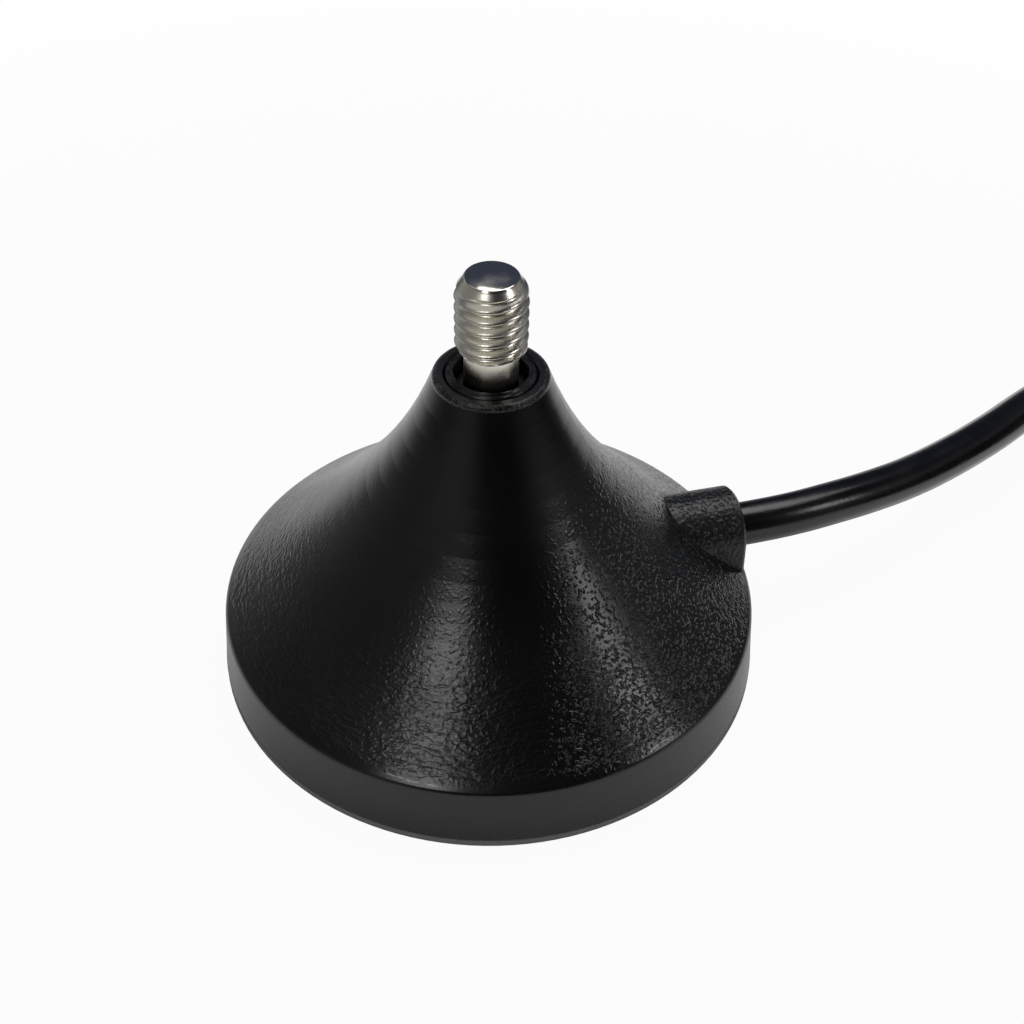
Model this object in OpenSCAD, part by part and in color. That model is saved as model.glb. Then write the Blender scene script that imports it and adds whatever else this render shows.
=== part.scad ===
// Magnetic mount antenna base with an M4 whip stud, a thin coax lead and a small coaxial plug.
// Millimetres. The origin is the centre of the base's underside, on the surface it stands on.
// +Z runs up the stud. The cable boss points towards +X, turned a little towards +Y.

/* [Base housing] */
// Diameter at the rim's upper edge
base_d = 32; // [30:0.5:40]
// Height of the rim's upper edge above the surface
rim_z = 4.2; // [4:0.1:5]
// Radius of the rim's rounded edge
rim_edge_r = 0.5; // [0.2:0.1:0.8]
// Draft of the rim's side wall in degrees, wider at the foot
wall_draft = 5; // [0:1:8]
// Height of the neck's flat end above the surface
neck_z = 20.2; // [18:0.1:24]
// Outer diameter of the neck's end
neck_d = 6.5; // [6.3:0.1:7.5]
// Radius of the neck's outer edge
neck_edge_r = 0.3; // [0.1:0.1:0.4]
// Steepness of the trumpet under the neck, in degrees from level
neck_angle = 70; // [67:1:74]
// Steepness where the tall arc meets the short one
waist_angle = 50.5; // [48:0.5:53]
// Steepness where the trumpet runs out at the rim
rim_angle = 38; // [34:1:41]
// Bevel round the foot of the side wall
foot_bevel = 0.1; // [0.05:0.05:0.3]

/* [Cable boss] */
// Width of the half-round boss
boss_w = 5.1; // [4.8:0.1:6]
// Height of the cable's axis above the surface
boss_axis_z = 5.75; // [5.7:0.05:6.4]
// Distance from the stud's axis to the boss's end face
boss_reach = 15.6; // [14.5:0.1:15.8]
// Turn of the boss from +X towards +Y in degrees
boss_turn = 14; // [0:1:30]
// How much further each side wall stands out at its foot
boss_spread = 0.15; // [0:0.05:0.3]
// Bevel round the end face
boss_bevel = 0.2; // [0.1:0.05:0.4]
// Radial room round the cable in its bore
bore_room = 0.06; // [0.03:0.01:0.2]

/* [Stud] */
// Outer diameter of the stud's thread
thread_d = 4; // [3.6:0.1:4.1]
// Length of the threaded stretch, lead-in included
thread_len = 4.4; // [3:0.1:6]
// Height of the stud's tip above the neck
stud_proud = 6.1; // [5.4:0.1:8]
// Diameter of the plain relief under the thread
relief_d = 3; // [2.6:0.1:3.2]
// Diameter of the flat tip
tip_d = 2.45; // [2:0.05:2.6]
// Length of the tapered lead-in
lead_in = 0.75; // [0.4:0.05:1]
// Diameter of the collar that sits in the bush
collar_d = 3.9; // [3.6:0.1:4.1]
// How far the collar's top lies below the neck
collar_sunk = 0.8; // [0.4:0.1:1.5]
// Diameter of the tail under the collar
tail_d = 3; // [2.5:0.1:3.2]
// How far the tail reaches past its nut
tail_proud = 0.6; // [0.3:0.1:0.8]

/* [Bush] */
// Outer diameter of the insulating bush
bush_d = 5; // [4.8:0.05:5.2]
// Radial room between the bush and the neck's bore
bush_room = 0.05; // [0.03:0.01:0.1]
// Bevel at the mouth of the neck's bore
mouth_bevel = 0.12; // [0.05:0.01:0.2]
// Radial room between the collar and the bush
collar_room = 0.07; // [0.03:0.01:0.1]
// Thickness of the bush's ledge that carries the collar
ledge_t = 2.4; // [1.5:0.1:3]
// Radial room round the stud's tail
tail_room = 0.1; // [0.05:0.01:0.2]
// Bead round the bush's hole, height above its face
bead_h = 0.1; // [0.05:0.05:0.2]
// Width of that bead
bead_w = 0.22; // [0.1:0.02:0.3]

/* [Stack under the neck] */
// Height of the web's underside above the surface
web_z = 10.6; // [10.4:0.1:11.2]
// Thickness of the web that the bush stands on
web_t = 2; // [1.5:0.1:2.4]
// Outer diameter of the insulating washer
washer_d = 6.4; // [5.8:0.1:7]
// Thickness of the insulating washer
washer_t = 0.6; // [0.4:0.1:0.8]
// Outer diameter of the solder tag's ring
tag_d = 5.6; // [5:0.1:6]
// Thickness of the solder tag
tag_t = 0.3; // [0.2:0.05:0.4]
// Width of the tag's tongue
tag_w = 1.8; // [1.4:0.1:2.2]
// Outer diameter of the spring lock washer
lock_d = 5.4; // [5:0.1:5.8]
// Thickness of the lock washer
lock_t = 0.7; // [0.5:0.1:0.8]
// Width of the lock washer's split
lock_split = 0.4; // [0.2:0.1:0.6]
// Width across the nut's flats
nut_af = 5.5; // [5:0.1:5.6]
// Height of the nut
nut_h = 2.4; // [2:0.1:2.6]

/* [Magnet and plate] */
// Outer diameter of the ring magnet
magnet_d = 25; // [22:0.5:25.5]
// Hole in the magnet
magnet_hole_d = 10; // [6:0.5:12]
// Thickness of the magnet
magnet_t = 3; // [2:0.1:3.1]
// Thickness of the steel plate
plate_t = 0.5; // [0.4:0.05:0.6]
// Radial room round the magnet and the plate
pocket_room = 0.1; // [0.05:0.05:0.3]
// Thickness of the bottom pad
pad_t = 0.4; // [0.3:0.05:0.5]
// How far the pad stands out past the housing's foot
pad_lip = 0.02; // [0:0.01:0.1]
// Diameter of the chamber's ceiling under the web
ceiling_d = 10.8; // [10.4:0.1:11.4]
// Height of the chamber's straight wall
chamber_wall = 3.4; // [3:0.1:3.6]

/* [Cable] */
// Outer diameter of the jacket
cable_d = 2.8; // [2.6:0.1:2.8]
// Diameter of the dielectric
dielectric_d = 1.5; // [1.3:0.05:1.6]
// Diameter of the centre conductor
core_d = 0.48; // [0.4:0.02:0.6]
// Diameter of the twisted braid pigtail
pigtail_d = 0.7; // [0.5:0.05:0.8]
// Room between the nut's corners and the centre conductor
core_room = 0.88; // [0.6:0.02:1]
// Bare centre conductor between the tag's eye and the dielectric
core_bare = 0.4; // [0.3:0.05:0.6]
// How far the dielectric stands out of the jacket
dielectric_out = 0.5; // [0.3:0.05:0.6]
// Outer diameter of the crimp ring on the jacket
crimp_ring_d = 3.6; // [3.4:0.05:3.6]
// Width of the crimp ring
crimp_ring_w = 1; // [0.8:0.1:1.2]
// Distance from the jacket's inner end to the crimp ring
crimp_ring_in = 0.3; // [0.2:0.05:0.5]
// Room between the crimp ring and the chamber's wall
crimp_ring_room = 0.7; // [0.5:0.05:1]

/* [Coil] */
// Mean diameter of the coil
coil_d = 38.6; // [36:0.2:42]
// Turns side by side in one layer
coil_columns = 4; // [3:1:5]
// Layers on top of each other
coil_layers = 3; // [3:1:4]
// Room between neighbouring turns
turn_room = 0.05; // [0.02:0.01:0.1]
// Room between the turns and the coil's outline
coil_room = 0.1; // [0.05:0.05:0.2]
// Width of the two flat ties round the coil
tie_w = 3; // [2:0.5:4]
// Thickness of the ties
tie_t = 0.35; // [0.25:0.05:0.5]
// Room between the ties and the coil's sides
tie_room = 0.15; // [0.12:0.01:0.3]
// Diameter of a tie's twisted ends
twist_d = 1.4; // [1:0.1:1.8]
// Length of a tie's twisted ends
twist_len = 8; // [5:0.5:12]

/* [Plug] */
// Width across the coupling nut's flats
plug_af = 8; // [7.8:0.1:8.4]
// Length of the coupling nut
plug_nut_len = 8.5; // [8:0.1:10]
// How far the coupling nut stands past the body's front face
plug_nut_proud = 3.4; // [2.8:0.1:3.6]
// Diameter inside the crests of the nut's thread
plug_thread_d = 5.6; // [5.5:0.05:5.8]
// Width of the relief behind the thread
plug_relief_d = 6.4; // [6.2:0.1:6.8]
// Bevel of the nut's corners
plug_bevel = 0.45; // [0.2:0.05:0.7]
// Outer diameter of the body's front barrel
barrel_d = 4.56; // [4.5:0.02:4.6]
// Length of the front barrel
barrel_len = 2; // [1.6:0.1:2.2]
// Outer diameter of the body's flange
flange_d = 5.44; // [5.3:0.02:5.46]
// Length of the flange
flange_len = 1.4; // [1:0.1:1.5]
// Diameter of the body where the nut turns on it
journal_d = 4.6; // [4.4:0.05:4.7]
// Radial running clearance between the nut and the body
journal_room = 0.05; // [0.03:0.01:0.09]
// Width of the retaining ring's groove
groove_w = 0.6; // [0.5:0.05:0.7]
// Depth of the groove in the body
groove_in = 0.35; // [0.25:0.05:0.4]
// Depth of the groove in the nut
groove_out = 0.4; // [0.3:0.05:0.45]
// Room round the retaining ring's section
ring_room = 0.06; // [0.04:0.01:0.1]
// Split in the retaining ring
ring_split = 1; // [0.6:0.1:1.6]
// Thickness of the gasket
gasket_t = 0.8; // [0.6:0.1:1]
// Diameter of the plug's insulator inside the barrel
insulator_d = 4.1; // [4:0.02:4.14]
// Diameter of its stepped-down rear
insulator_rear_d = 3; // [2.6:0.1:3.2]
// Diameter of the pin's tip
pin_d = 0.92; // [0.9:0.01:0.94]
// How far the pin reaches past the body's front face
pin_out = 2.4; // [2:0.1:2.5]
// Diameter of the pin inside the insulator
shank_d = 1.27; // [1.2:0.01:1.3]
// Length of the body behind the nut
rear_len = 2.4; // [2:0.1:3]
// Length of the crimp stem
stem_len = 7; // [6:0.1:8]
// Outer diameter of the crimp stem
stem_d = 2.3; // [2.2:0.05:2.4]
// Wall of the crimp stem
stem_wall = 0.3; // [0.25:0.05:0.35]
// Outer diameter of the crimp ferrule
ferrule_d = 3.8; // [3.75:0.05:3.9]
// Wall of the ferrule
ferrule_wall = 0.3; // [0.25:0.05:0.4]
// How far the ferrule reaches over the jacket
ferrule_over = 1.9; // [1:0.1:2.5]
// Width across the flats of the crimped stretch
crimp_af = 3.55; // [3.5:0.05:3.7]
// Wall of the heat-shrink sleeve
shrink_wall = 0.35; // [0.2:0.05:0.5]
// Radial room under the heat-shrink sleeve
shrink_room = 0.04; // [0.02:0.01:0.1]
// How far the sleeve reaches past the ferrule over the jacket
shrink_over = 4.5; // [3:0.1:6]
// Turn of the plug from +X towards +Y in degrees
plug_turn = 10; // [0:1:20]

/* [Hidden] */
$fn = 96;

black_plastic = [0.09, 0.09, 0.10];
nickel = [0.80, 0.77, 0.71];
gold = [0.86, 0.70, 0.36];

// Stack heights, from the surface up
magnet_z = pad_t;
plate_z = magnet_z + magnet_t;
pocket_z = plate_z + plate_t;
bush_z = web_z + web_t;
collar_z = bush_z + ledge_t;
washer_z = web_z - washer_t;
tag_z = washer_z - tag_t;
lock_z = tag_z - lock_t;
nut_z = lock_z - nut_h;
tail_z = nut_z - tail_proud;
stud_top = neck_z + stud_proud;
thread_z = stud_top - thread_len;
collar_top = neck_z - collar_sunk;
tail_hole_d = tail_d + 2 * tail_room;
bush_bore_d = bush_d + 2 * bush_room;
bush_hole_d = collar_d + 2 * collar_room;
cable_bore_d = cable_d + 2 * bore_room;

// The cable's end in the chamber, from the nut outwards to the chamber's wall
eye_x = nut_af / cos(30) / 2 + core_room + core_d / 2;
jacket_end = eye_x + core_bare + dielectric_out;
chamber_d = 2 * (jacket_end + crimp_ring_in + crimp_ring_w + crimp_ring_room);

// Plug heights along its own axis: the body's front face is 0, the mating end is positive
nut_rear = plug_nut_proud - plug_nut_len;
flange_front = -barrel_len;
flange_rear = flange_front - flange_len;
groove_front = (flange_rear + nut_rear) / 2 + groove_w / 2;
groove_rear = groove_front - groove_w;
journal_rear = nut_rear - 0.2;
body_rear = journal_rear - rear_len;
stem_rear = body_rear - stem_len;
jacket_rear = stem_rear - 0.1;
ferrule_front = body_rear - 0.1;
ferrule_rear = jacket_rear - ferrule_over;
shrink_front = ferrule_front - 1.2;
shrink_rear = ferrule_rear - shrink_over;
insulator_rear = body_rear + 1.2;
insulator_step = flange_rear + 0.3;
pin_rear = insulator_rear - 0.6;
journal_hole_d = journal_d + 2 * journal_room;
stem_bore_d = stem_d - 2 * stem_wall;
ferrule_bore_d = ferrule_d - 2 * ferrule_wall;
shrink_in_d = ferrule_d + 2 * shrink_room;
shrink_out_d = shrink_in_d + 2 * shrink_wall;
shrink_neck_d = cable_d + 2 * shrink_room;

// Coil, and where it lies
coil_x = 70;
coil_y = 8.4;
tie_turns = [255, 75];
pitch = cable_d + turn_room;
coil_half = ((coil_columns - 1) * pitch + cable_d) / 2 + coil_room;
coil_h = coil_layers * cable_d + coil_room;
coil_z = tie_t + 0.02;
inner_turn_r = coil_d / 2 - (coil_columns - 1) / 2 * pitch;
top_turn_z = coil_h - cable_d / 2;
plug_dx = 17.5;
plug_dy = 14.6;
plug_x = coil_x + plug_dx;
plug_y = coil_y + plug_dy;
plug_z = coil_z + coil_h + plug_af / cos(30) / 2 + 0.02;

// Points on the cable's centreline: out of the boss, down to the surface and round to the coil
lead_points = [
    [16.4, 4.1, 5.75], [19, 4.95, 5.7], [21.7, 6.2, 5.5], [24.7, 7.9, 5.1], [27.8, 10, 4.6],
    [31.2, 12.7, 4.1], [34.9, 16, 3.6], [37.8, 18.9, 3.15], [41, 22, 2.65], [44.6, 25.2, 2.15],
    [48.6, 28.1, 1.75], [53, 30.4, 1.5], [57.6, 31.8, 1.45], [62, 32.35, 1.5], [66, 32.2, 1.68],
    [69, 31.9, 1.82]];
// The same off the coil's top and up to the plug, measured from the centre of the coil's underside
tail_points = [
    [-14.27, -4.36, 10.45], [-14.66, -1.52, 10.68], [-14.37, 1.34, 11.02], [-13.42, 4.05, 11.45],
    [-11.87, 6.46, 11.92], [-9.80, 8.44, 12.40], [-7.32, 9.89, 12.78], [-4.58, 10.71, 13.06]];

// Points on an arc round [x, y]
function arc(x, y, r, from, to, steps) =
    [for (i = [0:steps]) let (a = from + (to - from) * i / steps) [x + r * cos(a), y + r * sin(a)]];

// Points on an arc that starts at p with one slope below level and ends with another
function slope_arc(p, r, from, to, steps) =
    [for (i = [1:steps]) let (a = from + (to - from) * i / steps)
        [p[0] + r * (sin(from) - sin(a)), p[1] - r * (cos(a) - cos(from))]];

// The trumpet is two tangent arcs. Their radii follow from both ends and the three slopes.
neck_round = arc(neck_d / 2 - neck_edge_r, neck_z - neck_edge_r, neck_edge_r, 90,
    90 - neck_angle, 4);
rim_round = arc(base_d / 2 - rim_edge_r, rim_z - rim_edge_r, rim_edge_r, 90 - rim_angle,
    wall_draft, 5);
trumpet_from = neck_round[4];
trumpet_to = rim_round[0];
across = trumpet_to[0] - trumpet_from[0];
down = trumpet_from[1] - trumpet_to[1];
a11 = sin(neck_angle) - sin(waist_angle);
a12 = sin(waist_angle) - sin(rim_angle);
a21 = cos(waist_angle) - cos(neck_angle);
a22 = cos(rim_angle) - cos(waist_angle);
tall_r = (across * a22 - down * a12) / (a11 * a22 - a12 * a21);
short_r = (down * a11 - across * a21) / (a11 * a22 - a12 * a21);
tall_arc = slope_arc(trumpet_from, tall_r, neck_angle, waist_angle, 7);
short_arc = slope_arc(tall_arc[6], short_r, waist_angle, rim_angle, 10);
foot_r = rim_round[5][0] + (rim_round[5][1] - pad_t - foot_bevel) * tan(wall_draft);
pad_r = foot_r + pad_lip;

// A tube along points, as one closed solid with flat ends. side keeps each ring upright.
function unit(v) = v / norm(v);
function heading(p, i) =
    unit(p[min(i + 1, len(p) - 1)] - p[max(i - 1, 0)]);
function ring(c, t, r, sides) =
    let (side = unit(cross(t, [0, 0, 1])), up = cross(side, t))
    [for (k = [0:sides - 1]) let (a = 360 * (k + 0.5) / sides)
        c + r * (cos(a) * side + sin(a) * up)];
module swept_tube(p, r, sides) {
    n = len(p);
    points = [for (i = [0:n - 1]) each ring(p[i], heading(p, i), r, sides)];
    walls = [for (i = [0:n - 2], k = [0:sides - 1])
        let (a = i * sides + k, b = i * sides + (k + 1) % sides)
        [a, b, b + sides, a + sides]];
    ends = [[for (k = [sides - 1:-1:0]) k], [for (k = [0:sides - 1]) (n - 1) * sides + k]];
    polyhedron(points, concat(walls, ends));
}

// Along the boss: local x runs out through it, at the cable's height
module along_boss() {
    rotate([0, 0, boss_turn]) translate([0, 0, boss_axis_z]) children();
}

// A cylinder along local x
module x_rod(from, to, d) {
    translate([from, 0, 0]) rotate([0, 90, 0]) cylinder(h = to - from, d = d);
}

module tube(z, h, outer, inner) {
    translate([0, 0, z]) difference() {
        cylinder(h = h, d = outer);
        translate([0, 0, -1]) cylinder(h = h + 2, d = inner);
    }
}

// The plug's own axis, with its front face at 0
module at_plug() {
    translate([plug_x, plug_y, plug_z]) rotate([0, 0, plug_turn]) rotate([0, 90, 0]) children();
}

// A point at distance u along the plug's axis
function plug_point(u) = [plug_x + u * cos(plug_turn), plug_y + u * sin(plug_turn), plug_z];

// Half-round outline of the boss, with its walls spread towards the foot
module boss_outline(less) {
    r = boss_w / 2 - less;
    foot = boss_axis_z - pocket_z;
    floor = boss_axis_z - pad_t - foot_bevel;
    polygon(concat(arc(0, 0, r, 0, 180, 24), [[-r - boss_spread, -foot],
        [-r - boss_spread, -floor], [r + boss_spread, -floor], [r + boss_spread, -foot]]));
}

// Local x of the outline becomes across, local y becomes up
module boss_stretch(from, to, less) {
    translate([from, 0, 0]) rotate([90, 0, 90]) linear_extrude(height = to - from)
        boss_outline(less);
}

module housing_skin() {
    rotate_extrude($fn = 180) polygon(concat([[0, pad_t], [0, neck_z]], neck_round, tall_arc,
        short_arc, rim_round,
        [[foot_r, pad_t + foot_bevel], [foot_r - foot_bevel, pad_t]]));
    along_boss() {
        boss_stretch(chamber_d / 2 - 1, boss_reach - boss_bevel, 0);
        hull() {
            boss_stretch(boss_reach - boss_bevel - 0.01, boss_reach - boss_bevel, 0);
            boss_stretch(boss_reach - 0.01, boss_reach, boss_bevel);
        }
    }
}

// What is hollow: the magnet's pocket, the chamber over it, the neck's bore and the cable's
module housing_hollows() {
    cylinder(h = pocket_z, d = magnet_d + 2 * pocket_room);
    rotate_extrude() polygon([[0, pocket_z - 0.5], [chamber_d / 2, pocket_z - 0.5],
        [chamber_d / 2, pocket_z + chamber_wall], [ceiling_d / 2, web_z], [0, web_z]]);
    translate([0, 0, web_z - 0.5]) cylinder(h = web_t + 1, d = tail_hole_d);
    translate([0, 0, bush_z]) cylinder(h = neck_z, d = bush_bore_d);
    translate([0, 0, neck_z - mouth_bevel])
        cylinder(h = 2 * mouth_bevel, d1 = bush_bore_d, d2 = bush_bore_d + 4 * mouth_bevel);
    along_boss() {
        x_rod(chamber_d / 2 - 1, boss_reach + 1, cable_bore_d);
        translate([boss_reach - boss_bevel, 0, 0]) rotate([0, 90, 0])
            cylinder(h = 2 * boss_bevel, d1 = cable_bore_d, d2 = cable_bore_d + 2 * boss_bevel);
    }
}

module housing() {
    color(black_plastic) difference() {
        housing_skin();
        housing_hollows();
    }
}

module insulator_bush() {
    color([0.07, 0.07, 0.08]) rotate_extrude() polygon([
        [tail_hole_d / 2, bush_z], [bush_d / 2 - 0.15, bush_z], [bush_d / 2, bush_z + 0.15],
        [bush_d / 2, neck_z - 0.06], [bush_d / 2 - 0.06, neck_z],
        [bush_hole_d / 2 + bead_w, neck_z], [bush_hole_d / 2 + bead_w * 0.7, neck_z + bead_h],
        [bush_hole_d / 2 + bead_w * 0.3, neck_z + bead_h], [bush_hole_d / 2, neck_z],
        [bush_hole_d / 2, collar_z], [tail_hole_d / 2, collar_z]]);
}

module antenna_stud() {
    color(nickel) rotate_extrude() polygon([
        [0, tail_z], [tail_d / 2 - 0.3, tail_z], [tail_d / 2, tail_z + 0.3],
        [tail_d / 2, collar_z], [collar_d / 2, collar_z], [collar_d / 2, collar_top],
        [relief_d / 2, collar_top], [relief_d / 2, thread_z - 0.3], [thread_d / 2, thread_z],
        [thread_d / 2, stud_top - lead_in], [tip_d / 2 + 0.27, stud_top - lead_in * 0.2],
        [tip_d / 2, stud_top], [0, stud_top]]);
}

module insulating_washer() {
    color([0.85, 0.82, 0.72]) tube(washer_z, washer_t, washer_d, tail_hole_d);
}

// Ring under the washer, with a tongue that carries the core's eye
module solder_tag() {
    tip_x = eye_x + 0.8;
    color([0.83, 0.80, 0.74]) translate([0, 0, tag_z]) rotate([0, 0, boss_turn])
    difference() {
        union() {
            cylinder(h = tag_t, d = tag_d);
            translate([0, -tag_w / 2, 0]) cube([tip_x - tag_w / 2 + 0.1, tag_w, tag_t]);
            translate([tip_x - tag_w / 2, 0, 0]) cylinder(h = tag_t, d = tag_w);
        }
        translate([0, 0, -1]) cylinder(h = tag_t + 2, d = tail_hole_d);
        translate([eye_x, 0, -1]) cylinder(h = tag_t + 2, d = core_d + 0.2, $fn = 32);
    }
}

module lock_washer() {
    color([0.70, 0.70, 0.68]) difference() {
        tube(lock_z, lock_t, lock_d, tail_hole_d);
        rotate([0, 0, boss_turn + 180]) translate([0, -lock_split / 2, lock_z - 1])
            cube([lock_d, lock_split, lock_t + 2]);
    }
}

// Hex nut with turned corners on both faces
module stud_nut() {
    corner = nut_af / cos(30) / 2;
    color(nickel) difference() {
        intersection() {
            translate([0, 0, nut_z]) cylinder(h = nut_h, r = corner, $fn = 6);
            rotate_extrude() polygon([[0, nut_z], [nut_af / 2 - 0.05, nut_z],
                [corner, nut_z + 0.35], [corner, nut_z + nut_h - 0.35],
                [nut_af / 2 - 0.05, nut_z + nut_h], [0, nut_z + nut_h]]);
        }
        translate([0, 0, nut_z - 1]) cylinder(h = nut_h + 2, d = tail_d + 0.04);
    }
}

module ring_magnet() {
    color([0.62, 0.63, 0.65]) tube(magnet_z, magnet_t, magnet_d, magnet_hole_d);
}

module backing_plate() {
    color([0.66, 0.66, 0.64]) translate([0, 0, plate_z]) cylinder(h = plate_t, d = magnet_d);
}

module bottom_pad() {
    boss_foot = boss_w / 2 + boss_spread;
    color([0.22, 0.22, 0.23]) union() {
        cylinder(h = pad_t, r = pad_r, $fn = 180);
        rotate([0, 0, boss_turn]) translate([0, -boss_foot, 0])
            cube([boss_reach, 2 * boss_foot, pad_t]);
    }
}

// Cable end inside the chamber
module cable_crimp_ring() {
    color([0.72, 0.60, 0.36]) along_boss() difference() {
        translate([crimp_ring_in, 0, 0])
            x_rod(jacket_end, jacket_end + crimp_ring_w, crimp_ring_d);
        x_rod(0, chamber_d, cable_bore_d);
    }
}

module cable_dielectric() {
    color([0.93, 0.93, 0.90]) along_boss()
        x_rod(jacket_end - dielectric_out, jacket_end, dielectric_d);
}

// Out of the dielectric, then up through the tag's eye
module centre_conductor() {
    rise = tag_z + tag_t + 0.15 - boss_axis_z;
    color([0.80, 0.52, 0.34]) along_boss() {
        x_rod(eye_x, jacket_end - dielectric_out, core_d);
        translate([eye_x, 0, 0]) sphere(d = core_d, $fn = 32);
        translate([eye_x, 0, 0]) cylinder(h = rise, d = core_d);
    }
}

// Out of the jacket beside the dielectric, then down to the plate
module braid_pigtail() {
    side = (dielectric_d + pigtail_d) / 2;
    color([0.78, 0.72, 0.64]) along_boss() translate([0, -side, 0]) {
        x_rod(eye_x, jacket_end, pigtail_d);
        translate([eye_x, 0, 0]) sphere(d = pigtail_d, $fn = 32);
        translate([eye_x, 0, pocket_z - boss_axis_z])
            cylinder(h = boss_axis_z - pocket_z, d = pigtail_d);
    }
}

module cable_lead() {
    out = [cos(boss_turn), sin(boss_turn), 0];
    inside = [for (x = [jacket_end, (jacket_end + boss_reach) / 2, boss_reach])
        out * x + [0, 0, boss_axis_z]];
    color([0.06, 0.06, 0.07]) swept_tube(concat(inside, lead_points), cable_d / 2, 8);
}

// Outer shape of the wound turns
module cable_coil() {
    edge = cable_d / 2;
    color([0.06, 0.06, 0.07]) translate([coil_x, coil_y, coil_z]) rotate_extrude($fn = 120)
        translate([coil_d / 2, 0]) polygon(concat(
            arc(coil_half - edge, edge, edge, -90, 0, 4),
            arc(coil_half - edge, coil_h - edge, edge, 0, 90, 4),
            arc(edge - coil_half, coil_h - edge, edge, 90, 180, 4),
            arc(edge - coil_half, edge, edge, 180, 270, 4)));
}

// Up out of the inner turn, round on top of it and of one tie, then off to the plug
module cable_tail() {
    on_coil = [for (i = [0:13]) let (a = 22 - 13 * i, rise = (1 - cos(180 * min(i / 8, 1))) / 2)
        [inner_turn_r * cos(a), inner_turn_r * sin(a),
            top_turn_z + (pitch + tie_t + 0.04) * rise]];
    from_coil = [for (p = concat(on_coil, tail_points)) p + [coil_x, coil_y, coil_z]];
    into_plug = [for (u = [(shrink_rear + jacket_rear) / 2, jacket_rear]) plug_point(u)];
    color([0.06, 0.06, 0.07]) swept_tube(concat(from_coil, into_plug), cable_d / 2, 8);
}

// Rounded outline that goes round the coil's section, with room at its sides
module round_section(side, under) {
    edge = cable_d / 2;
    half = coil_half + side;
    polygon(concat(
        arc(half - edge, edge - under, edge, -90, 0, 6),
        arc(half - edge, coil_h - edge + under, edge, 0, 90, 6),
        arc(edge - half, coil_h - edge + under, edge, 90, 180, 6),
        arc(edge - half, edge - under, edge, 180, 270, 6)));
}

// Flat tie round the coil, with its ends twisted together outside
module coil_tie(turn) {
    twist_x = coil_half + tie_room + tie_t + twist_d / 2 - 0.1;
    color([0.90, 0.90, 0.88]) translate([coil_x, coil_y, coil_z]) rotate([0, 0, turn])
    translate([coil_d / 2, 0, 0]) union() {
        translate([0, tie_w / 2, 0]) rotate([90, 0, 0]) linear_extrude(height = tie_w)
            difference() {
                round_section(tie_room + tie_t, tie_t + 0.02);
                round_section(tie_room, 0.02);
            }
        translate([twist_x, 0, coil_h / 2]) rotate([-90, 0, 0])
            cylinder(h = twist_len, d = twist_d);
    }
}

module coil_tie_a() {
    coil_tie(tie_turns[0]);
}

module coil_tie_b() {
    coil_tie(tie_turns[1]);
}

// One turned piece: barrel, flange, journal with a groove, rear shoulder and hollow crimp stem
module plug_body() {
    color(gold) at_plug() difference() {
        rotate_extrude() polygon([
            [0, stem_rear], [stem_d / 2, stem_rear], [stem_d / 2, body_rear],
            [journal_d / 2 - 0.2, body_rear], [journal_d / 2, body_rear + 0.2],
            [journal_d / 2, groove_rear], [journal_d / 2 - groove_in, groove_rear],
            [journal_d / 2 - groove_in, groove_front], [journal_d / 2, groove_front],
            [journal_d / 2, flange_rear], [flange_d / 2, flange_rear],
            [flange_d / 2, flange_front], [barrel_d / 2, flange_front],
            [barrel_d / 2, -0.1], [barrel_d / 2 - 0.1, 0], [0, 0]]);
        translate([0, 0, insulator_step]) cylinder(h = 20, d = insulator_d + 0.04);
        translate([0, 0, insulator_rear]) cylinder(h = 10, d = insulator_rear_d + 0.04);
        translate([0, 0, body_rear - 0.01]) cylinder(h = 4, d = 2.2);
        translate([0, 0, stem_rear - 1]) cylinder(h = stem_len + 2, d = stem_bore_d);
    }
}

// Hex nut, turned at both ends, with its own groove for the retaining ring
module coupling_nut() {
    corner = plug_af / cos(30) / 2;
    face = plug_af / 2 - 0.1;
    color(gold) at_plug() difference() {
        intersection() {
            translate([0, 0, nut_rear]) cylinder(h = plug_nut_len, r = corner, $fn = 6);
            rotate_extrude() polygon([[0, nut_rear], [face, nut_rear],
                [corner, nut_rear + plug_bevel], [corner, plug_nut_proud - plug_bevel],
                [face, plug_nut_proud], [0, plug_nut_proud]]);
        }
        translate([0, 0, nut_rear - 1]) cylinder(h = 20, d = journal_hole_d);
        translate([0, 0, groove_rear])
            cylinder(h = groove_w, d = journal_hole_d + 2 * groove_out);
        translate([0, 0, flange_rear - 0.1]) cylinder(h = 20, d = plug_thread_d);
        translate([0, 0, flange_rear - 0.1])
            cylinder(h = flange_len + 0.5, d = plug_relief_d);
        translate([0, 0, plug_nut_proud - 0.35])
            cylinder(h = 0.7, d1 = plug_thread_d, d2 = plug_thread_d + 1.4);
    }
}

module retaining_ring() {
    inner = journal_d - 2 * groove_in + 2 * ring_room;
    outer = journal_hole_d + 2 * groove_out - 2 * ring_room;
    color([0.75, 0.62, 0.34]) at_plug() difference() {
        tube(groove_rear + ring_room, groove_w - 2 * ring_room, outer, inner);
        translate([0, -ring_split / 2, groove_rear - 1]) cube([5, ring_split, groove_w + 2]);
    }
}

module plug_gasket() {
    color([0.70, 0.22, 0.12]) at_plug()
        tube(flange_front, gasket_t, plug_thread_d - 0.2, barrel_d + 0.04);
}

module plug_insulator() {
    hole_r = shank_d / 2 + 0.02;
    color([0.94, 0.94, 0.92]) at_plug() rotate_extrude() polygon([
        [hole_r, insulator_rear], [insulator_rear_d / 2, insulator_rear],
        [insulator_rear_d / 2, insulator_step], [insulator_d / 2, insulator_step],
        [insulator_d / 2, -0.05], [hole_r, -0.05]]);
}

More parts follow.
